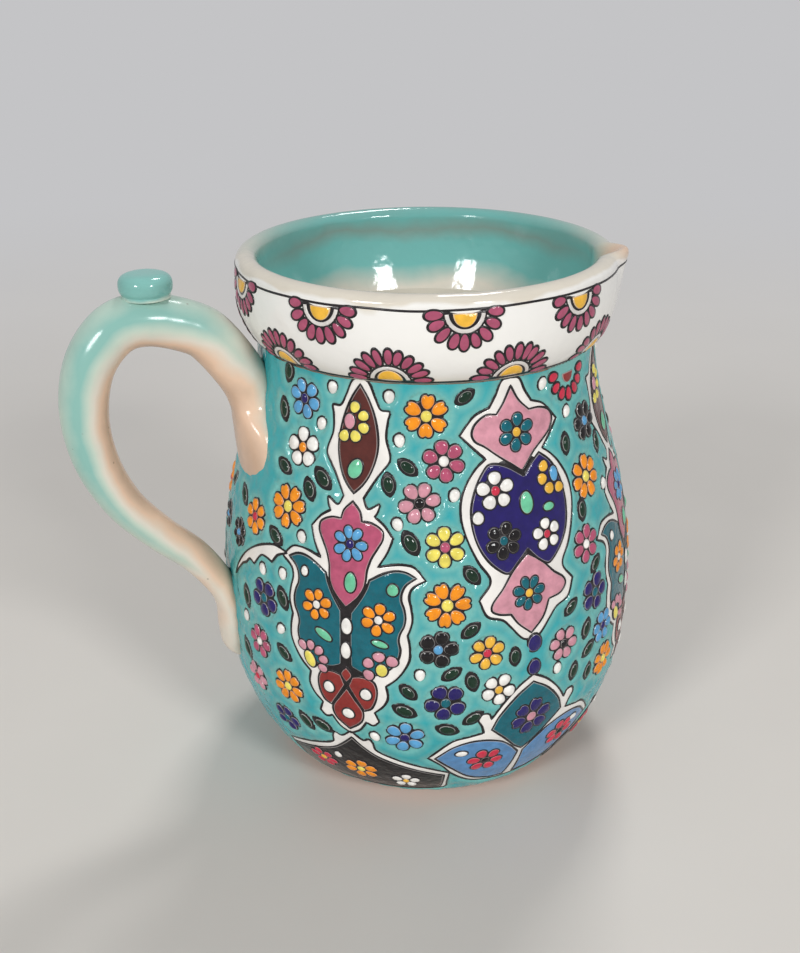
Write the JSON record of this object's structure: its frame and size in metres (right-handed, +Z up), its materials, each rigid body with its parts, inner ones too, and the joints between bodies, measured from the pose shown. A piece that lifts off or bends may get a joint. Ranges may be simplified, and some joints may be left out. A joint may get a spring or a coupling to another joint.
{
  "type": "pouring jug",
  "caption": "Earthenware pouring jug with a rolled collar, pinched lip, looped handle with a thumb button, turquoise glaze and raised enamel flowers.",
  "frame": {"origin": "centre of the foot's underside", "axes": "+Z up, handle towards -X, lip on the +X side"},
  "size_m": [0.2022, 0.1512, 0.1923],
  "materials": {
    "earthenware": "fired buff clay under clear glaze",
    "turquoise_glaze": "glossy, pooled",
    "white_glaze": "glossy",
    "black_line": "satin",
    "enamel_white": "glossy",
    "enamel_brown": "glossy",
    "enamel_rose": "glossy",
    "enamel_teal": "glossy",
    "enamel_russet": "glossy",
    "enamel_black": "glossy",
    "enamel_pink": "glossy",
    "enamel_navy": "glossy",
    "enamel_blue": "glossy",
    "enamel_orange": "glossy",
    "enamel_yellow": "glossy",
    "enamel_red": "glossy",
    "enamel_green": "glossy",
    "enamel_mauve": "glossy",
    "enamel_amber": "glossy"
  },
  "bodies": {
    "root": {"body": "earthenware", "collar": "earthenware", "pouring_lip": "earthenware", "handle": "earthenware", "thumb_button": "turquoise_glaze", "ground_glaze": "turquoise_glaze", "interior_glaze": "turquoise_glaze", "collar_glaze": "white_glaze", "painted_lines": "black_line", "strap_borders": "enamel_white", "handle_swags": "enamel_white", "spindle_fields": "enamel_brown", "bud_fields": "enamel_rose", "wing_fields": "enamel_teal", "trefoil_fields": "enamel_russet", "base_band_fields": "enamel_black", "pink_trefoils": "enamel_pink", "medallion_fields": "enamel_navy", "medallion_beads": "enamel_navy", "arch_fields": "enamel_teal", "base_leaf_fields": "enamel_blue", "orange_flowers": "enamel_orange", "rose_flowers": "enamel_rose", "white_flowers": "enamel_white", "yellow_flowers": "enamel_yellow", "navy_flowers": "enamel_navy", "blue_flowers": "enamel_blue", "teal_flowers": "enamel_teal", "red_flowers": "enamel_red", "flower_centres": "enamel_amber", "green_leaves": "enamel_green", "white_dots": "enamel_white", "rosette_petals": "enamel_mauve", "rosette_rings": "enamel_white", "rosette_centres": "enamel_amber"}
  },
  "joints": []
}
